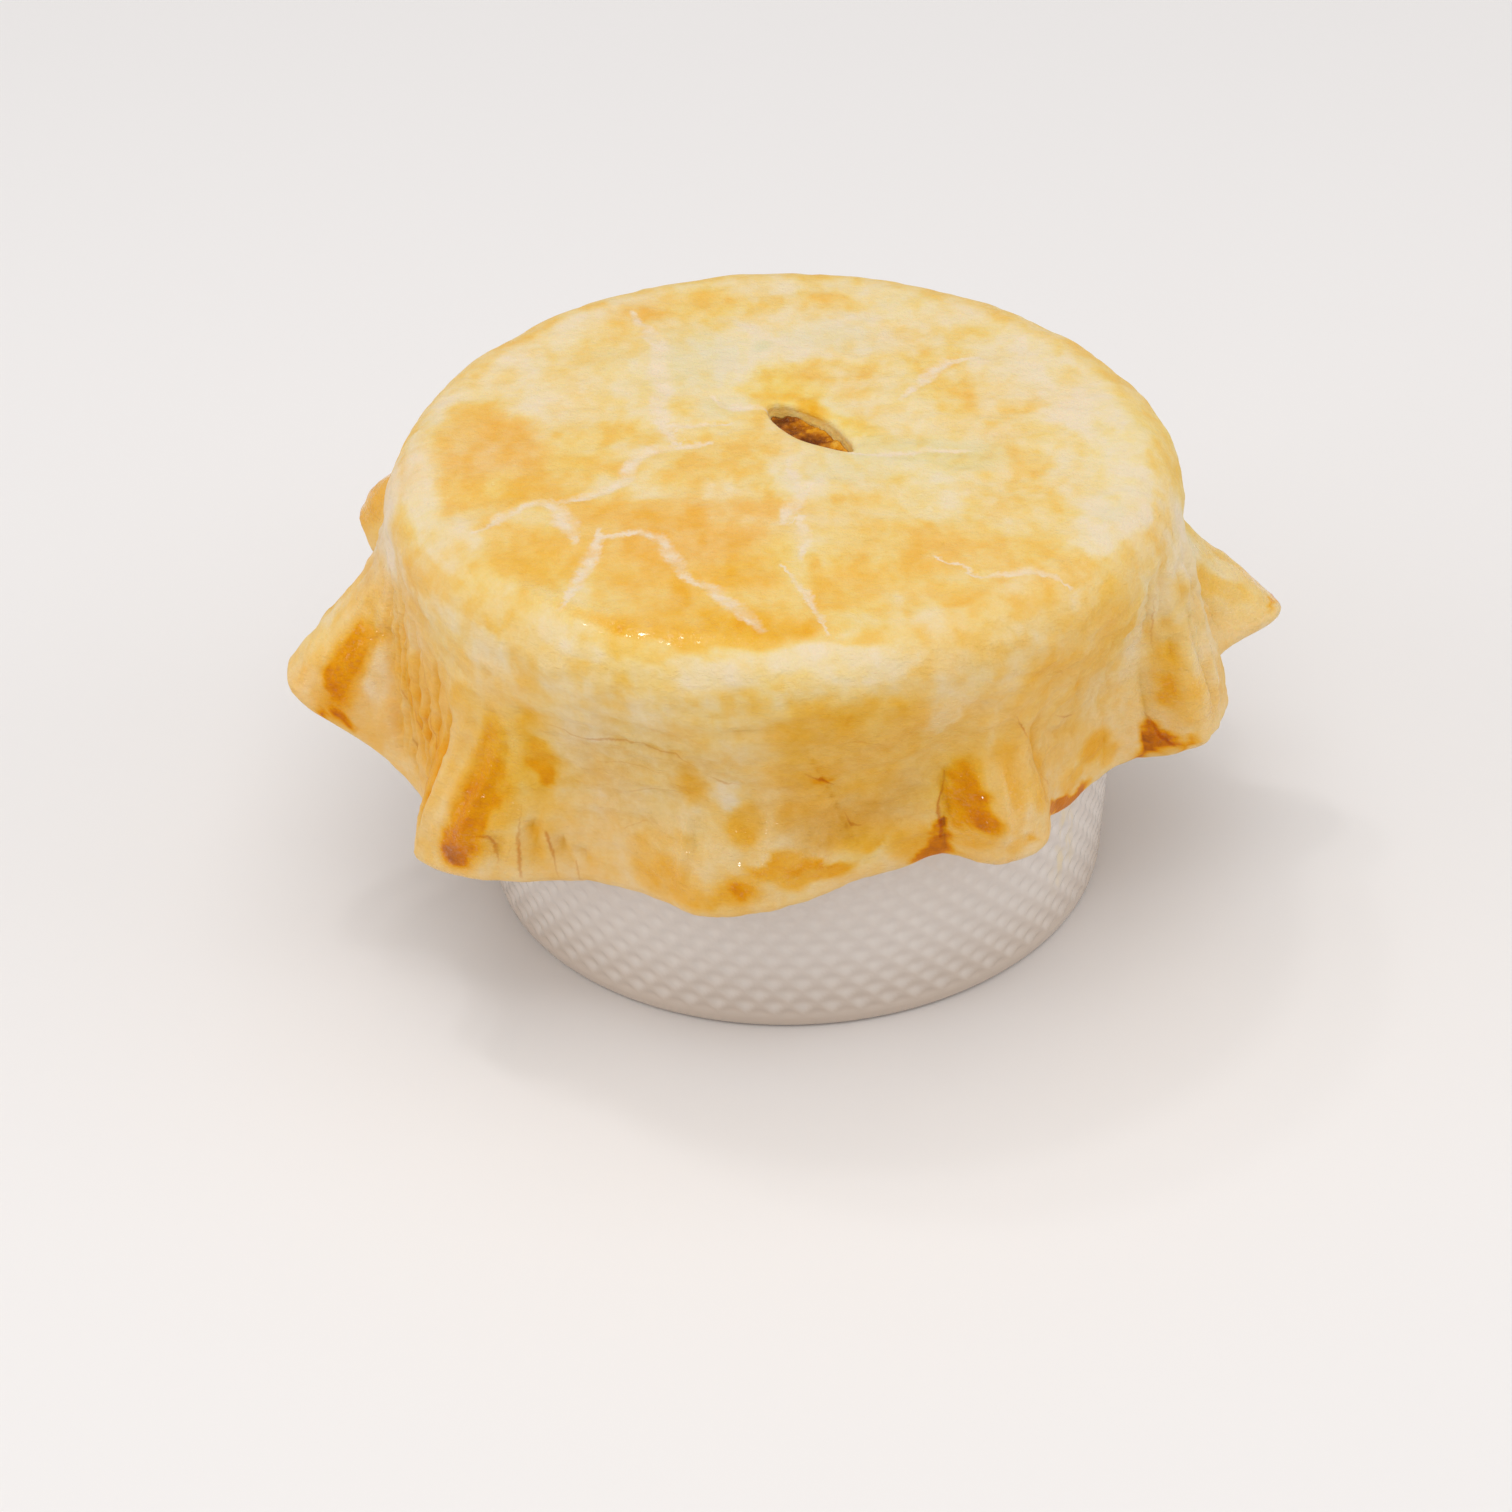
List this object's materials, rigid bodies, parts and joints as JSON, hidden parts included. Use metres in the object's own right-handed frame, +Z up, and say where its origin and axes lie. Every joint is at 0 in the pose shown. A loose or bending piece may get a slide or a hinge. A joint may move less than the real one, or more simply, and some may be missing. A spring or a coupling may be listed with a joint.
{
  "type": "pot pie in a ramekin",
  "caption": "Individual pot pie: a white ramekin under a draped golden pastry lid whose skirt hangs in flared folds, with a slit that shows the filling.",
  "frame": {"origin": "centre of the dish's flat foot, on the surface the pie stands on", "axes": "+Z up out of the lid, front of the pie towards -Y, +X to the right"},
  "size_m": [0.1606, 0.1362, 0.0769],
  "materials": {
    "porcelain": "white glazed porcelain with an embossed diamond lattice on its outer wall",
    "filling": "wet brown gravy with small soft lumps",
    "pastry": "egg-washed flaky pastry, cream to golden with orange-brown patches on the folds"
  },
  "bodies": {
    "root": {"dish": "porcelain", "filling": "filling", "crust": "pastry"}
  },
  "joints": []
}
